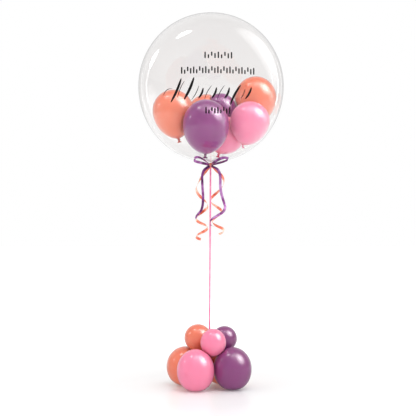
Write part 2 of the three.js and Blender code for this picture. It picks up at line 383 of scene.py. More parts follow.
# how far the flat side looks sideways where it takes a painted sheen, how square the section's
# edges are, and in metres the length of the slanted cut and of one repeat of the pattern
ribbonCrease = 50  # degrees
ribbonFinish = {"sheenFacing": (0.45, 0.95), "edge": 8, "cutLength": 0.006, "patternLength": 0.01}
# how strong each ribbon's painted sheen is at its turns, and its spans of painted sheen: middle,
# spread and amount
ribbonTones = {
    "purpleTailLeft": (0.1, [(0.2, 0.07, 0.55), (0.5, 0.14, 0.4), (0.88, 0.05, 0.4)]),
    "purpleTailRight": (0.1, [(0.36, 0.17, 0.95), (0.8, 0.05, 0.6)]),
    "coralTailLeft": (0.95, [(0.3, 0.03, 0.5), (0.62, 0.04, 0.5)]),
    "coralTailRight": (0.95, [(0.5, 0.03, 0.4), (0.95, 0.06, 0.9)]),
    "bowLoopLeft": (0.05, [(0.45, 0.05, 0.5), (0.62, 0.07, 0.5)]),
    "bowLoopRight": (0.05, [(0.5, 0.06, 0.5)]),
    "stem": (0.0, []),
}
# the upright line that each tail winds about: its place across and in depth
curlLines = {
    "purpleTailLeft": (-32, 30), "coralTailLeft": (-31, 12.5),
    "purpleTailRight": (22, 5), "coralTailRight": (21, 15.5),
}


def smoothLine(points, perSpan=40):
    # A centripetal Catmull-Rom line: each span is a cubic between two points, and its slope at
    # each is weighed by the square roots of the distances to the points beside it.
    p = np.asarray(points, float) * mm
    p = np.vstack([2 * p[0] - p[1], p, 2 * p[-1] - p[-2]])
    gap = np.sqrt(np.linalg.norm(np.diff(p, axis=0), axis=1))[:, None]
    p0, p1, p2, p3 = p[:-3], p[1:-2], p[2:-1], p[3:]
    g0, g1, g2 = gap[:-2], gap[1:-1], gap[2:]
    leave = ((p1 - p0) / g0 - (p2 - p0) / (g0 + g1) + (p2 - p1) / g1) * g1
    meet = ((p2 - p1) / g1 - (p3 - p1) / (g1 + g2) + (p3 - p2) / g2) * g1
    u = np.linspace(0, 1, perSpan, endpoint=False)[None, :, None]
    spans = (
        (2 * u**3 - 3 * u**2 + 1) * p1[:, None] + (u**3 - 2 * u**2 + u) * leave[:, None]
        + (3 * u**2 - 2 * u**3) * p2[:, None] + (u**3 - u**2) * meet[:, None]
    )
    return np.vstack([spans.reshape(-1, 3), p[-2]])


def lineLengths(line):
    # How far along the line each of its points is.
    return np.concatenate([[0], np.cumsum(np.linalg.norm(np.diff(line, axis=0), axis=1))])


def evenLine(line, step):
    # The same line with its points at equal distances.
    run = lineLengths(line)
    stops = np.linspace(0, run[-1], max(2, int(round(run[-1] / step)) + 1))
    return np.stack([np.interp(stops, run, line[:, k]) for k in range(3)], axis=1), stops


def curledAbout(place):
    # The ribbon turns its flat side away from an upright line: its width lies square to both the
    # way out from that line and the way along.
    def across(line, tangent):
        outward = line - np.array([place[0] * mm, place[1] * mm, 0])
        outward[:, 2] = 0
        return np.cross(outward, tangent)
    return across


def onEdge(line, tangent):
    # The ribbon's width stands upright.
    return np.tile([0.0, 0.0, 1.0], (len(line), 1))


def facingFront(line, tangent):
    # The ribbon's width lies from side to side.
    return np.tile([1.0, 0.0, 0.0], (len(line), 1))


def ribbonPart(key, look, acrossAt):
    # A flat oval section carried along the line. Round the section, x is the place across the
    # width and y the height, which has fine ribs on both faces and thins at the two edges.
    line, stops = evenLine(smoothLine(ribbonRoutes[key]), look["step"] * mm)
    tangent = unit(np.gradient(line, axis=0))
    across = acrossAt(line, tangent)
    across = unit(across - (across * tangent).sum(1, keepdims=True) * tangent)
    lean = math.radians(look["lean"])
    across = math.cos(lean) * across + math.sin(lean) * np.cross(tangent, across)
    normal = np.cross(tangent, across)
    # painted sheen: pale where the flat side looks sideways, and in bell-shaped spans along the
    # length
    sheenAtTurns, spans = ribbonTones[key]
    pale = sheenAtTurns * ease(np.abs(normal[:, 0]), *ribbonFinish["sheenFacing"])
    for middle, spread, amount in spans:
        pale = pale + amount * np.exp(-((stops / stops[-1] - middle) / spread)**2)
    side = np.cos(np.linspace(0, math.pi, look["acrossPoints"]))
    inside = 1 - side**ribbonFinish["edge"]
    thick = look["thick"] / 2 * np.sqrt(np.clip(inside, 0, 1))
    thick = thick + look["ribDepth"] * np.cos(math.pi * look["ribs"] * side) * inside
    x = np.concatenate([side, side[-2:0:-1]]) * look["width"] / 2 * mm
    y = np.concatenate([thick, -thick[-2:0:-1]]) * mm
    cut = ease(stops, stops[-1] - ribbonFinish["cutLength"], stops[-1])
    points = (
        line[:, None] + across[:, None] * x[None, :, None] + normal[:, None] * y[None, :, None]
        + tangent[:, None] * (cut[:, None] * x[None, :] * look["slant"] / look["width"])[..., None]
    )
    flat = points[[0, -1]] - normal[[0, -1], None] * y[None, :, None]
    points = np.concatenate([flat[:1], points, flat[1:]])
    u = (1 - np.concatenate([side, side[-2:0:-1], side[:1]])) / 2
    v = np.concatenate([stops[:1], stops, stops[-1:]]) / ribbonFinish["patternLength"]
    pale = np.concatenate([pale[:1], pale, pale[-1:]])[:, None] * np.ones(len(x))
    return grid(points, across=u, along=v, pale=pale), line, stops[-1]


# each tail and the stem: its piece, node, route, colour, far end and how it hangs
tailPieces = [
    ("purple_ribbon_left", "purple_tail_left", "purpleTailLeft", "purple", "bare", "hanging"),
    ("coral_curl_left", "coral_tail_left", "coralTailLeft", "coral", "bare", "hanging"),
    ("purple_ribbon_right", "purple_tail_right", "purpleTailRight", "purple", "bare", "hanging"),
    ("coral_curl_right", "coral_tail_right", "coralTailRight", "coral", "bare", "hanging"),
    ("stem_of_pink_ribbon", "stem_ribbon", "stem", "pink", "object", "taut"),
]


def makeTails():
    for name, node, key, colour, farEnd, lay in tailPieces:
        look = ribbonLook if key in curlLines else stemLook
        acrossAt = curledAbout(curlLines[key]) if key in curlLines else facingFront
        part, line, length = ribbonPart(key, look, acrossAt)
        piece = makePiece(name, [part], pearlOf[colour], sharp=ribbonCrease)
        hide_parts(node)


makeTails()
print("ribbon tails and stem made")


def makeBow():
    for name, node, key in [
        ("bow_ribbon_left", "bow_loop_left", "bowLoopLeft"),
        ("bow_ribbon_right", "bow_loop_right", "bowLoopRight"),
    ]:
        part, _, _ = ribbonPart(key, ribbonLook, onEdge)
        piece = makePiece(name, [part], pearlOf["purple"], sharp=ribbonCrease)
        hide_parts(node)


# the knot, in millimetres: each wrap's height, and its tilt across and in depth
knotLook = {
    "wraps": [(-2.7, 0.10, -0.16), (0.0, -0.14, 0.08), (2.7, 0.06, 0.18)],
    "width": 3.9, "thick": 1.5, "creases": 5, "creaseDepth": 0.16, "creaseSway": 2,
    "clear": 0.2, "roundPoints": 97, "sectionPoints": 28, "crisp": 60,
}


def makeKnot():
    # Three rings of gathered ribbon: each is a flat, creased section carried round the bow
    # knot's oval, tilted a little.
    look = knotLook
    low, high = (np.array(corner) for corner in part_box("bow_knot"))
    middle, half = (low + high) / 2, (high - low) / 2
    turn = np.linspace(0, 2 * math.pi, look["roundPoints"])
    section = np.linspace(0, 2 * math.pi, look["sectionPoints"], endpoint=False)
    parts = []
    for rise, tiltX, tiltY in look["wraps"]:
        t, s = np.meshgrid(turn, section, indexing="ij")
        sway = look["creases"] * s + look["creaseSway"] * np.sin(t)
        crease = look["creaseDepth"] * np.cos(sway)
        out = (look["thick"] / 2 + crease) * np.cos(s) * mm
        up = look["width"] / 2 * np.sin(s) * mm
        reach = half[:2] - (look["thick"] / 2 + look["clear"]) * mm
        x = middle[0] + (reach[0] + out) * np.cos(t)
        y = middle[1] + (reach[1] + out) * np.sin(t)
        lean = tiltX * (x - middle[0]) + tiltY * (y - middle[1])
        z = middle[2] + rise * mm + up + lean
        parts.append(grid(np.stack([x, y, z], axis=-1), along=turn * 2))
    piece = makePiece(
        "bow_knot_wraps", parts, pearlOf["coral"], sharp=look["crisp"]
    )
    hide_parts("bow_knot")


makeBow()
makeKnot()
print("bow made")


# each latex's colour, and its colour where the skin is thick
latexTones = {
    "coral": ((0.735, 0.178, 0.1), (0.5, 0.035, 0.012)),
    "pink": ((0.8, 0.205, 0.34), (0.62, 0.025, 0.09)),
    "purple": ((0.215, 0.04, 0.165), (0.1, 0.01, 0.07)),
}
# the sealed balloons are painted a touch deeper, a painted shade that offsets the pale veil the
# film lays over them
sealedTones = {
    "Coral": ((0.72, 0.165, 0.08), (0.5, 0.03, 0.01)),
    "Pink": ((0.78, 0.195, 0.34), (0.62, 0.025, 0.09)),
    "Purple": ((0.215, 0.016, 0.165), (0.1, 0.004, 0.06)),
}
latexOf = {name: latexMaterial(name + "Latex", *tones) for name, tones in latexTones.items()}
for name, tones in sealedTones.items():
    latexOf["sealed" + name] = latexMaterial("sealed" + name, *tones)
# the tied mouth: the radii of its neck, knot and lip and its length in millimetres, then the
# power and fullness of the curve that brings the body down to it
knottedLook = {
    "neck": 3.0, "knot": 5.6, "lip": 7.6, "nose": 14.0, "power": 2.2, "fullness": 0.62,
    "meets": 2.2, "lipEnds": 0.45, "knotAt": 0.68, "knotSpread": 0.1, "bodyStarts": 0.84,
    "rows": 40, "hollow": (1.2, 0.8), "hollowShare": 0.7,
}
# the other balloons' mouths, in millimetres, and what all the balloons share
balloonLook = {
    "around": 96, "bodyRows": 60, "taperRows": 36, "shoulder": -46.0, "neckRadius": 3.2,
    "lipRadius": 5.0, "lipHeight": 3.0, "bead": 0.7, "beadRows": 12, "hollow": (1.6, 1.4),
    "taperFrom": 1.02, "taperPull": (0.6, 0.4), "pleats": 9, "pleatDepth": 0.07,
    "noseSpare": 4, "thickFrom": -0.16, "thickTo": 0.1, "crown": 0.1, "crownSpread": 0.14,
    "pressRounding": 1.2,
}


def bezier(points, count):
    # A cubic line between the first and last of four points, drawn by the two between them.
    t = np.linspace(0, 1, count)
    weights = np.stack([(1 - t)**3, 3 * (1 - t)**2 * t, 3 * (1 - t) * t**2, t**3], axis=1)
    return weights @ np.asarray(points)


def roundBody(radius, start):
    # A circle's arc from an angle up to the crown, without its first point.
    b = np.linspace(start, math.pi / 2, balloonLook["bodyRows"])[1:]
    body = radius * np.stack([np.cos(b), np.sin(b)], axis=1)
    body[-1, 0] = 0
    return body


def standingProfile(radius, tip):
    # Radius and height of a balloon about its centre, from the mouth up to the crown: a rolled
    # lip, a narrow neck, a taper on a cubic line and a round body.
    look = balloonLook
    neck, lip, bead = (look[key] * mm for key in ("neckRadius", "lipRadius", "bead"))
    middle, side = (depth * mm - tip for depth in look["hollow"])
    a = math.radians(look["shoulder"])
    sx, sz = radius * math.cos(a), radius * math.sin(a)
    roll = np.linspace(-0.75 * math.pi, 0.6 * math.pi, look["beadRows"])
    mouth = np.array([[0, middle], [lip / 2, side]])
    rim = np.stack([lip - bead + bead * np.cos(roll), bead - tip + bead * np.sin(roll)], axis=1)
    start = (look["lipHeight"] + 1) * mm - tip
    inwards, downwards = look["taperPull"]
    taper = bezier(
        [(neck, start), (neck, -look["taperFrom"] * radius),
         (sx * inwards, sz - sx * downwards), (sx, sz)],
        look["taperRows"],
    )
    return np.concatenate([mouth, rim, taper, roundBody(radius, a)])


def knottedProfile(radius, tip):
    # The same for a tied balloon, full down to its knot: below the widest line the radius falls
    # as a power curve, then comes a bell-shaped bead for the knot and a flared lip.
    look = knottedLook
    neck, knot, lip, nose = (look[key] * mm for key in ("neck", "knot", "lip", "nose"))
    middle, side = (depth * mm - tip for depth in look["hollow"])
    deep = tip - nose
    s = np.linspace(1, 0, 2 * balloonLook["bodyRows"])
    low = np.stack([radius * (1 - s**look["power"])**look["fullness"], -deep * s], axis=1)
    low = low[low[:, 0] > look["meets"] * neck]
    t = np.linspace(0, 1, look["rows"])
    flare = (lip - neck) * (1 - ease(t, 0.0, look["lipEnds"]))
    bead = (knot - neck) * np.exp(-((t - look["knotAt"]) / look["knotSpread"])**2)
    widening = (low[0, 0] - neck) * ease(t, look["bodyStarts"], 1.0)
    nosePart = np.stack([neck + flare + bead + widening, -tip + (low[0, 1] + tip) * t], axis=1)
    mouth = np.array([[0, middle], [lip * look["hollowShare"], side]])
    return np.concatenate([mouth, nosePart[:-1], low, roundBody(radius, 0)])


def turnTo(direction):
    # The rotation that takes straight down to a direction, as three axes.
    down = -unit(direction)
    side = unit(np.cross([0.0, 1.0, 0.0], down))
    return np.stack([side, np.cross(down, side), down], axis=1)


def balloonPoints(centre, radius, half, tipPoint, knotted=False):
    # The profile turned about its axis, which points to the mouth, then stretched upright.
    stretch = half / radius
    toTip = np.asarray(tipPoint) - centre
    toTip[2] /= stretch
    tip = float(np.linalg.norm(toTip))
    profile = knottedProfile(radius, tip) if knotted else standingProfile(radius, tip)
    x, z = profile.T
    look = balloonLook
    angle = np.linspace(0, 2 * math.pi, look["around"], endpoint=False)
    noseStart = radius * look["taperFrom"]
    if knotted:
        noseStart = tip - (knottedLook["nose"] + look["noseSpare"]) * mm
    pleat = ease(-z, noseStart, tip)[:, None] * np.cos(look["pleats"] * angle)[None, :]
    ring = x[:, None] * (1 + look["pleatDepth"] * pleat)
    points = turned(ring, z, angle) @ turnTo(toTip).T
    points[..., 2] *= stretch
    # the skin is thick towards the mouth, and a little in a bell-shaped spot at the crown
    thick = np.maximum(
        ease(-z, noseStart + look["thickFrom"] * radius, noseStart + look["thickTo"] * radius),
        look["crown"] * np.exp(-((x / (look["crownSpread"] * radius))**2)) * (z > 0),
    )
    return points + centre, np.broadcast_to(thick[:, None], ring.shape).copy()


def reachAlong(radius, half, direction):
    # How far an ellipsoid's surface is from its centre in a direction.
    return 1 / math.hypot(math.hypot(direction[0], direction[1]) / radius, direction[2] / half)


def pressFlat(points, face, normal, rounding):
    # Whatever stands beyond a plane is laid back onto it, with a rounded shoulder.
    beyond = (points - face) @ normal
    return points - softOver(beyond, rounding)[..., None] * normal


def pressPlanes(balloons, spare, gap):
    # The plane between each pair of touching balloons, for both of them.
    planes = {b["name"]: [] for b in balloons}
    for i, one in enumerate(balloons):
        for other in balloons[i + 1:]:
            way = other["centre"] - one["centre"]
            distance = float(np.linalg.norm(way))
            way = way / distance
            near = reachAlong(one["radius"], one["half"], way)
            far = reachAlong(other["radius"], other["half"], way)
            slack = distance - near - far
            if slack < spare:
                planes[one["name"]].append((one["centre"] + way * (near + slack / 2 - gap), way))
                planes[other["name"]].append(
                    (other["centre"] - way * (far + slack / 2 - gap), -way)
                )
    return planes


# the standing cluster in millimetres, round a hub under the stem: how high the mouths meet, how
# far the balloons sink onto the floor, and how they press on each other
clusterLook = {
    "hub": (-6.0, 0.0), "reach": 10.0, "largeMouth": 82.0, "smallMouth": 106.0, "sink": 2.0,
    "channel": 3.5, "channelRounding": 0.1, "spare": 3.0, "gap": 0.15, "full": 0.1,
    "footRounding": 2.5,
}
# name, colour, place across and in depth, radius, half height, and height where it's raised
clusterBalloons = [
    ("base_balloon_pink", "pink", -46.8, -80, 64.5, 73, None),
    ("base_balloon_purple", "purple", 80.3, -49, 66, 74.5, None),
    ("base_balloon_coral_left", "coral", -83, 47, 68, 70, None),
    ("base_balloon_coral_back", "coral", 47, 78, 66, 70, None),
    ("top_balloon_pink", "pink", 13.6, -52, 44.6, 48.2, 162.7),
    ("top_balloon_purple", "purple", 53.5, 17, 43.9, 43.9, 169.2),
    ("top_balloon_coral", "coral", -39.8, 24, 47.7, 47.7, 171.2),
]


def makeCluster():
    look = clusterLook
    hub = np.array(look["hub"]) * mm
    balloons = []
    for name, colour, x, y, radius, half, z in clusterBalloons:
        height = half - look["sink"] if z is None else z
        balloons.append({
            "name": name, "colour": colour, "foot": z is None, "radius": radius * mm,
            "half": half * mm, "centre": np.array([hub[0] + x * mm, hub[1] + y * mm, height * mm]),
        })
    planes = pressPlanes(balloons, look["spare"] * mm, look["gap"] * mm)
    for b in balloons:
        inward = unit(np.array([hub[0] - b["centre"][0], hub[1] - b["centre"][1], 0]))
        mouth = look["largeMouth" if b["foot"] else "smallMouth"] * mm
        tip = np.array([*hub, mouth]) - inward * look["reach"] * mm
        points, thick = balloonPoints(b["centre"], b["radius"], b["half"], tip)
        if b["foot"]:  # fuller towards the foot, by the square of the share of the way down
            depth = np.clip((b["centre"][2] - points[..., 2:]) / b["half"], 0, 1)
            middle = b["centre"][:2]
            points[..., :2] = middle + (points[..., :2] - middle) * (1 + look["full"] * depth**2)
        rounding = balloonLook["pressRounding"] * mm
        for face, normal in planes[b["name"]]:
            points = pressFlat(points, face, normal, rounding)
        channel = np.array([*hub, 0]) - inward * look["channel"] * mm
        points = pressFlat(points, channel, inward, look["channelRounding"] * mm)
        if b["foot"]:
            down = np.array([0.0, 0.0, -1.0])
            points = pressFlat(points, np.zeros(3), down, look["footRounding"] * mm)
        piece = makePiece(
            b["name"].replace("balloon", "latex_balloon"), [grid(points, thickness=thick)],
            latexOf[b["colour"]],
        )
        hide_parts(b["name"])


makeCluster()
print("standing cluster made")


# the bubble in millimetres: its film is two half ellipsoids, gathered to a neck
bubbleLook = {
    "radius": 254.0, "centreZ": 1053.0, "upper": 256.5, "lower": 265.0, "neckRadius": 3.5,
    "neckEndZ": 776.0, "gatherRadius": 24.0, "film": 0.3, "around": 192, "rows": 150,
    "pleats": 22, "pleatDepth": 0.13, "pleatReach": 70.0, "pleatWander": 1.3, "openRows": 16,
    "endShare": 0.6, "endRise": 0.3,
}
# the seven balloons sealed in it: name, colour, centre, radius, half height, and the mouth's place
innerBalloons = [
    ("purple_front", "purple", (-17.6, -90, 915), 79.3, 84.5, (-19.8, -52, 801)),
    ("pink_right", "pink", (135.4, -28, 930.8), 69.0, 68.0, (103, -18, 835)),
    ("coral_left", "coral", (-132.3, -20, 967.1), 71.4, 73.0, (-110, -16, 856)),
    ("coral_right", "coral", (159.0, 68, 1019.6), 74.5, 77.0, (120, 50, 905)),
    ("purple_back", "purple", (34.0, 52, 978.0), 57.0, 57.0, (24, 48, 880)),
    ("coral_middle", "coral", (-14.0, 62, 965.0), 69.0, 67.5, (-22, 56, 856)),
    ("pink_low", "pink", (47.0, 30, 885.0), 69.5, 72.0, (24, 24, 806)),
]
innerLook = {"spare": 2.0, "gap": 0.2, "fill": 0.988, "fillRounding": 0.006, "rounding": 3.0}


def insideFilm(points):
    # Keeps points within the film: the share of the way to it is eased down to less than one.
    look = bubbleLook
    centre = np.array([0, 0, look["centreZ"]]) * mm
    from_ = points - centre
    tall = np.where(from_[..., 2] > 0, look["upper"], look["lower"]) * mm
    share = np.sqrt(
        (from_[..., 0]**2 + from_[..., 1]**2) / (look["radius"] * mm)**2 + (from_[..., 2] / tall)**2
    )
    over = softOver(share - innerLook["fill"], innerLook["fillRounding"])
    return centre + from_ * ((share - over) / share)[..., None]


def makeInnerBalloons():
    balloons = [
        {"name": "inner_balloon_" + name, "colour": colour, "centre": np.array(centre) * mm,
         "radius": radius * mm, "half": half * mm, "tip": np.array(tip) * mm}
        for name, colour, centre, radius, half, tip in innerBalloons
    ]
    planes = pressPlanes(balloons, innerLook["spare"] * mm, innerLook["gap"] * mm)
    for b in balloons:
        points, thick = balloonPoints(b["centre"], b["radius"], b["half"], b["tip"], knotted=True)
        for face, normal in planes[b["name"]]:
            points = pressFlat(points, face, normal, innerLook["rounding"] * mm)
        points = insideFilm(points)
        material = latexOf["sealed" + b["colour"].capitalize()]
        makePiece(b["name"], [grid(points, thickness=thick)], material)


makeInnerBalloons()
print("inner balloons made")


filmShine = {
    "Base Color": (0.985, 0.98, 0.978, 1), "Transmission Weight": 1.0, "Roughness": 0.0, "IOR": 1.4,
}


def filmMaterial():
    # Clear film. Lamps, soft light and what the balloons mirror pass straight through it. A look
    # straight at it, a ray that it has just bent and a ray between its two faces meet real gloss.
    material, nodes, links, skin = newMaterial("clearFilm")
    setInputs(skin, filmShine)
    rays = addNode(nodes, "LightPath", (-1000, 300))
    soft = addMath(nodes, (-600, 400), "MAXIMUM")
    half = addMath(nodes, (-800, 100), "MODULO", 2.0)  # each wall has two faces
    gloss = addMath(nodes, (-800, 250), "SUBTRACT")
    inside = addMath(nodes, (-600, 200), "SUBTRACT")
    either = addMath(nodes, (-400, 300), "MAXIMUM")
    through = addNode(nodes, "BsdfTransparent", (-200, -300))
    blend = addNode(nodes, "MixShader", (300, 200))
    joinAll(
        links,
        (rays, "Is Shadow Ray", soft, 0), (rays, "Is Diffuse Ray", soft, 1),
        (rays, "Transmission Depth", half, 0), (rays, "Is Glossy Ray", gloss, 0),
        (rays, "Is Transmission Ray", gloss, 1), (gloss, "Value", inside, 0),
        (half, "Value", inside, 1), (soft, "Value", either, 0), (inside, "Value", either, 1),
        (either, "Value", blend, "Fac"), (skin, "BSDF", blend, 1), (through, "BSDF", blend, 2),
        (blend, "Shader", nodes["Material Output"], "Surface"),
    )
    return material


def filmProfile(inset):
    # Radius and height of the film, bottom up: a narrow neck, a curve that opens it out, and
    # two half ellipses, each drawn in by the inset.
    look = bubbleLook
    radius, low, high = look["radius"] - inset, look["lower"] - inset, look["upper"] - inset
    neck = look["neckRadius"] - inset
    gather = math.acos(look["gatherRadius"] / radius)
    gatherZ = look["centreZ"] - low * math.sin(gather)
    t = np.linspace(0, 1, look["openRows"])
    start, bend, stop = (1 - t)**2, 2 * (1 - t) * t, t**2
    openX = start * neck + bend * neck + stop * look["gatherRadius"]
    openZ = start * (gatherZ - 4) + bend * (gatherZ - 1) + stop * gatherZ
    a = np.linspace(-gather, 0, look["rows"] // 2)[1:]
    b = np.linspace(0, math.pi / 2, look["rows"] // 2)[1:]
    end = look["neckEndZ"] + inset
    x = np.concatenate(
        [[0, neck * look["endShare"], neck], openX, radius * np.cos(a), radius * np.cos(b)]
    )
    z = np.concatenate([
        [end, end, end + look["endRise"]], openZ, look["centreZ"] + low * np.sin(a),
        look["centreZ"] + high * np.sin(b),
    ])
    x[-1] = 0
    return x * mm, z * mm


def filmWall(inset):
    # The profile turned about the upright axis. Near the neck the radius is pleated.
    look = bubbleLook
    x, z = filmProfile(inset)
    angle = np.linspace(0, 2 * math.pi, look["around"], endpoint=False)
    beyondNeck = np.maximum(x / mm - look["neckRadius"], 0)
    gathered = np.exp(-beyondNeck / (look["pleatReach"] / 4))
    wave = np.cos(look["pleats"] * angle + look["pleatWander"] * np.sin(3 * angle))
    ring = x[:, None] * (1 - look["pleatDepth"] * gathered[:, None] * (1 - wave) / 2)
    return turned(ring, z, angle)


def makeBubble():
    # An outer wall, and an inner wall whose faces look the other way.
    outer, inner = filmWall(0.0), filmWall(bubbleLook["film"])[:, ::-1]
    piece = makePiece(
        "bubble_film", [grid(outer), grid(inner)], filmMaterial(), keepTurn=True
    )
    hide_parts("bubble")


makeBubble()
print("bubble film made")


# black strokes on the film, which aren't letters, in millimetres: their thickness, how far they
# stand off the film, and how blunt the upright and the brushed ones end
strokeLook = {
    "thick": 0.25, "off": 0.05, "along": 24, "acrossPoints": 9, "edge": 6, "uprightBlunt": 8,
    "brushedBlunt": 2.5, "starts": (0, 0, 0.35, 0), "ends": (1, 0.6, 1, 0.8), "crisp": 40,
}
inkLook = {
    "dark": (0.004, 0.004, 0.005), "pale": (0.014, 0.013, 0.014), "rough": (0.5, 0.65),
    "drift": (60.0, 3.0), "shine": 0.12,
}
# each upright row: its middle height, its height, its span, how many strokes and their width
strokeRows = [
    (1131, 23, (-20, 67), 9, 4.8), (1081, 24, (-97, 141), 25, 4.8), (950, 22, (-17, 61), 9, 4.8),
]
# the tall brushed row: each stroke's foot and head (across, height), width and bow
brushStrokes = [
    ((-160, 1002), (-128, 1024), 2.2, -7), ((-134, 978), (-98, 1056), 8.5, 3),
    ((-112, 990), (-88, 1046), 2.4, -3), ((-90, 984), (-56, 1058), 9.0, 3),
    ((-66, 982), (-40, 1030), 2.4, 3), ((-42, 988), (-26, 1022), 7.0, 3),
    ((-22, 984), (2, 1030), 2.4, -3), ((2, 988), (18, 1024), 7.0, 3),
    ((20, 984), (44, 1030), 2.4, -3), ((44, 988), (60, 1024), 7.0, 3),
    ((62, 966), (98, 1034), 7.5, -3), ((96, 988), (112, 1022), 2.4, 3),
    ((112, 988), (134, 1028), 6.5, 3),
]


def onFilm(x, z, lift):
    # The point of the film's front at a place across and a height, lifted clear of it.
    look = bubbleLook
    up = z - look["centreZ"]
    tall = np.where(up > 0, look["upper"], look["lower"])
    y = -look["radius"] * np.sqrt(np.clip(1 - (up / tall)**2 - (x / look["radius"])**2, 0, 1))
    normal = unit(np.stack([x / look["radius"]**2, y / look["radius"]**2, up / tall**2], axis=-1))
    return (np.stack([x, y, z], axis=-1) + normal * lift[..., None]) * mm


def strokePart(foot, head, width, bow, taper):
    # A stroke: a line bowed sideways, whose width swells in the middle, with a rounded top.
    look = strokeLook
    foot, head = np.array(foot, float), np.array(head, float)
    t = np.linspace(0, 1, look["along"])
    way = unit(head - foot)
    side = np.array([way[1], -way[0]])
    line = foot + (head - foot) * t[:, None] + side * (bow * np.sin(math.pi * t))[:, None]
    swell = np.sqrt(np.clip(1 - np.abs(2 * t - 1)**taper, 0, 1)) * width / 2
    s = np.cos(np.linspace(0, math.pi, look["acrossPoints"]))
    s = np.concatenate([s, s[-2:0:-1]])
    top = np.concatenate([np.ones(look["acrossPoints"]), np.zeros(look["acrossPoints"] - 2)])
    flat = line[:, None] + side * (swell[:, None] * s[None])[..., None]
    bulge = np.clip(1 - s[None]**look["edge"], 0, 1) * (swell[:, None] > 0)
    lift = look["off"] + look["thick"] * top[None] * bulge
    return grid(onFilm(flat[..., 0], flat[..., 1], lift))


def makeStrokes():
    look = strokeLook
    ink, nodes, links, skin = newMaterial("blackFilmStrokes")
    place = addNode(nodes, "TexCoord", (-900, 0))
    drift = addNoise(nodes, links, place, (-700, 0), *inkLook["drift"])
    tone, _ = addRamp(nodes, (-450, 100), inkLook["dark"], inkLook["pale"])
    joinAll(links, (drift, "Fac", tone, "Fac"), (tone, "Color", skin, "Base Color"))
    roughenBy(nodes, links, drift, inkLook["rough"], skin)
    setInputs(skin, {"Specular IOR Level": inkLook["shine"]})
    parts = []
    for z, tall, span, count, width in strokeRows:
        low = z - tall / 2
        for i, x in enumerate(np.linspace(*span, count)):
            start, end = (low + tall * look[key][i % 4] for key in ("starts", "ends"))
            parts.append(strokePart((x, start), (x, end), width, 0.0, look["uprightBlunt"]))
    for foot, head, width, bow in brushStrokes:
        parts.append(strokePart(foot, head, width, bow, look["brushedBlunt"]))
    makePiece("film_strokes", parts, ink, sharp=look["crisp"])


makeStrokes()
print("strokes made")


# the floor: its half width, how rough it is, its tones where it's seen and where it's mirrored,
# and the glow that makes it pale between two distances from the middle
floorLook = {
    "half": 14.0, "rough": (0.22, 0.28), "drift": (3.0, 2.0), "tone": 0.74, "mirroredTone": 0.3,
    "shine": 0.12, "glow": 0.6, "glowNear": 0.15, "near": 0.35, "far": 2.5, "veil": 0.66,
    "bounce": 0.5,
}
# the surroundings: how bright the soft light is, the greys that are seen through the film above
# and below, where one turns into the other, and the greys that are mirrored in front and behind
surroundingsLook = {
    "soft": 1.12, "upperGrey": 0.89, "lowerGrey": 0.97, "greyFrom": 0.05, "greyTo": 0.12,
    "warm": (1.0, 0.985, 0.98), "mirrored": 0.3, "mirroredBehind": 0.66, "darkFrom": 0.45,
    "darkTo": 0.7,
}
# the lamps: the way to each from the bubble's centre, its distance, width and height, its
# brightness, what it lights, whether as gloss or as soft light, and how far out it stays bright.
# What isn't lit as film is lit as latex, the ribbons and the floor too.
studioLamps = {
    "keyLight": ((0.2, -0.5, 0.84), 7.0, 10.0, 10.0, 3.2, "latex", "soft", 0.22),
    "softbox": ((0.71, -0.27, 0.66), 9.0, 10.0, 11.5, 13.0, "latex", "gloss", 0.22),
    "topPanel": ((-0.42, -0.1, 0.9), 6.0, 2.4, 2.2, 9.0, "latex", "gloss", 0.22),
    "overhead": ((0.1, -0.3, 0.95), 6.0, 7.0, 6.0, 3.0, "latex", "gloss", 0.22),
    "leftStrip": ((-0.93, 0.0, 0.33), 6.0, 0.7, 2.8, 8.0, "latex", "gloss", 0.22),
    "rightWall": ((0.93, 0.1, 0.2), 8.0, 8.0, 10.0, 3.0, "inner", "gloss", 0.22),
    "filmWindow": ((0.785, 0.37, 0.54), 9.0, 7.5, 12.5, 2.1, "film", "gloss", 0.3),
    "filmHighPanel": ((-0.455, 0.11, 0.87), 6.0, 0.95, 2.1, 8.0, "film", "gloss", 0.5),
    "filmSidePanel": ((-0.79, 0.4, 0.42), 6.0, 1.2, 2.0, 6.0, "film", "gloss", 0.5),
    "filmRightStrip": ((0.76, 0.633, 0.0), 8.0, 0.7, 5.0, 2.4, "film", "gloss", 0.5),
    "filmRightEdge": ((0.56, 0.816, 0.1), 8.0, 0.4, 6.0, 1.0, "film", "gloss", 0.5),
    "filmLeftStrip": ((-0.842, 0.52, -0.05), 8.0, 0.6, 4.0, 1.3, "film", "gloss", 0.5),
    "filmLeftEdge": ((-0.622, 0.77, 0.0), 8.0, 0.4, 5.0, 1.0, "film", "gloss", 0.5),
}


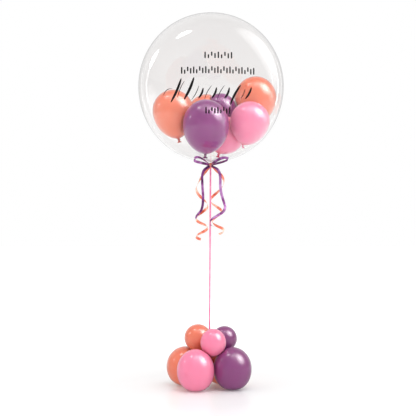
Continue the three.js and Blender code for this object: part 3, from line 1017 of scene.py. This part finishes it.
def floorMaterial():
    # White where it's seen and dimmer where the balloons mirror it. Its glow grows with the
    # distance from the middle, is veiled where it's seen through the film, and is stronger for
    # the soft light that it throws up under the cluster.
    look = floorLook
    material, nodes, links, skin = newMaterial("paleFloor")
    place = addNode(nodes, "TexCoord", (-900, 0))
    rays = addNode(nodes, "LightPath", (-900, 400))
    drift = addNoise(nodes, links, place, (-700, 0), *look["drift"])
    roughenBy(nodes, links, drift, look["rough"], skin)
    mirrored = addMath(nodes, (-700, 400), "SUBTRACT", clamp=True)
    shade = addMix(nodes, (-450, 300), (look["tone"],) * 3, (look["mirroredTone"],) * 3)
    away = addNode(nodes, "VectorMath", (-700, -400), operation="LENGTH")
    glow = rangeNode(nodes, (-450, -400), look["glowNear"], 1.0, look["near"], look["far"])
    veil = addMath(nodes, (-450, -600), "MULTIPLY_ADD")
    veil.inputs[1].default_value, veil.inputs[2].default_value = -look["veil"], 1.0
    veiled = addMath(nodes, (-250, -500), "MULTIPLY")
    bounce = addMath(nodes, (-450, -750), "MULTIPLY", look["bounce"])
    lit = addNode(nodes, "Mix", (-100, -500))
    lit.inputs[3].default_value = 1.0
    joinAll(
        links,
        (rays, "Is Glossy Ray", mirrored, 0), (rays, "Is Transmission Ray", mirrored, 1),
        (mirrored, "Value", shade, "Factor"), (shade, 2, skin, "Base Color"),
        (place, "Object", away, 0), (away, "Value", glow, "Value"),
        (rays, "Is Transmission Ray", veil, 0), (glow, "Result", veiled, 0),
        (veil, "Value", veiled, 1), (rays, "Is Diffuse Ray", bounce, 0),
        (bounce, "Value", lit, 0), (veiled, "Value", lit, 2), (lit, 0, skin, "Emission Color"),
    )
    setInputs(skin, {"Specular IOR Level": look["shine"], "Emission Strength": look["glow"]})
    return material


def makeFloor():
    half = floorLook["half"]
    mesh = bpy.data.meshes.new("studio_floor")
    corners = [(-half, -half, 0), (half, -half, 0), (half, half, 0), (-half, half, 0)]
    mesh.from_pydata(corners, [], [(0, 1, 2, 3)])
    mesh.materials.append(floorMaterial())
    floor = bpy.data.objects.new("studio_floor", mesh)
    scene.collection.objects.link(floor)


def fadeLamp(data, spread):
    # The lamp is brightest in its middle and fades to nothing at its rim: its brightness follows
    # four times the squared distance from the middle, through a ramp that bends at spread.
    data.use_nodes = True
    nodes, links = data.node_tree.nodes, data.node_tree.links
    face = addNode(nodes, "NewGeometry", (-1100, 0))
    split = addNode(nodes, "SeparateXYZ", (-900, 0))
    links.new(face.outputs["Parametric"], split.inputs["Vector"])
    total = addMath(nodes, (-200, 0), "ADD")
    for side, height in enumerate((100, -100)):
        away = addMath(nodes, (-500, height), "SUBTRACT", 0.5)
        square = addMath(nodes, (-350, height), "POWER", 2.0)
        joinAll(
            links,
            (split, side, away, 0), (away, "Value", square, 0), (square, "Value", total, side),
        )
    scale = addMath(nodes, (-100, 0), "MULTIPLY", 4.0)
    fade, ramp = addRamp(nodes, (0, 0), (1, 1, 1), (0, 0, 0))
    joinAll(
        links,
        (total, "Value", scale, 0), (scale, "Value", fade, "Fac"),
        (fade, "Color", nodes["Emission"], "Color"),
    )
    ramp.interpolation = "EASE"
    ramp.elements.new(spread).color = (0.15 + 1.4 * spread,) * 3 + (1,)


def makeLamps():
    centre = np.array([0, 0, bubbleLook["centreZ"] * mm])
    groups = {name: bpy.data.collections.new(name) for name in ("film", "latex", "inner")}
    for piece in scene.objects:
        if piece.type == "MESH":
            groups["film" if piece.name == "bubble_film" else "latex"].objects.link(piece)
        if piece.name.startswith("inner_balloon"):
            groups["inner"].objects.link(piece)
    for name, values in studioLamps.items():
        way, distance, width, height, bright, group, kind, spread = values
        way = unit(np.array(way, float))
        data = bpy.data.lights.new(name, "AREA")
        data.shape = "RECTANGLE"
        data.size, data.size_y = width, height
        data.energy = bright * width * height * math.pi
        fadeLamp(data, spread)
        lamp = bpy.data.objects.new(name, data)
        right = unit(np.cross([0.0, 0.0, 1.0], way))
        placed = np.eye(4)
        placed[:3, :3] = np.stack([right, np.cross(way, right), way], axis=1)
        placed[:3, 3] = centre + way * distance
        lamp.matrix_world = Matrix(placed.tolist())
        lamp.light_linking.receiver_collection = groups[group]
        lamp.visible_diffuse = kind == "soft"
        lamp.visible_glossy = kind == "gloss"
        scene.collection.objects.link(lamp)


def makeSurroundings():
    # Plain white behind everything and a soft light all round. What is seen through the film is
    # a grey that pales towards the ground, and what is mirrored is darker, most of all in front.
    look = surroundingsLook
    world = bpy.data.worlds.new("studio")
    scene.world = world
    world.use_nodes = True
    nodes, links = world.node_tree.nodes, world.node_tree.links
    rays = addNode(nodes, "LightPath", (-900, 200))
    place = addNode(nodes, "TexCoord", (-1500, -200))
    split = addNode(nodes, "SeparateXYZ", (-1300, -200))
    height = rangeNode(
        nodes, (-1100, -200), look["lowerGrey"], look["upperGrey"], look["greyFrom"], look["greyTo"]
    )
    grey = addNode(nodes, "VectorMath", (-800, -300), operation="SCALE")
    grey.inputs[0].default_value = look["warm"]
    white = (1, 1, 1)
    side, ramp = addRamp(
        nodes, (-1100, -500), (look["mirrored"],) * 3, (look["mirroredBehind"],) * 3
    )
    ramp.elements[0].position, ramp.elements[1].position = look["darkFrom"], look["darkTo"]
    mirror = addMix(nodes, (-600, 0), (look["soft"],) * 3, white)
    through = addMix(nodes, (-400, 0), white, white)
    seen = addMix(nodes, (-200, 100), white, white)
    joinAll(
        links,
        (place, "Generated", split, "Vector"), (split, "Z", height, "Value"),
        (split, "Y", side, "Fac"), (height, "Result", grey, "Scale"),
        (rays, "Is Glossy Ray", mirror, "Factor"), (side, "Color", mirror, 7),
        (rays, "Is Transmission Ray", through, "Factor"), (mirror, 2, through, 6),
        (grey, 0, through, 7), (rays, "Is Camera Ray", seen, "Factor"), (through, 2, seen, 6),
        (seen, 2, nodes["Background"], "Color"),
    )


makeFloor()
makeLamps()
makeSurroundings()
print("studio made")
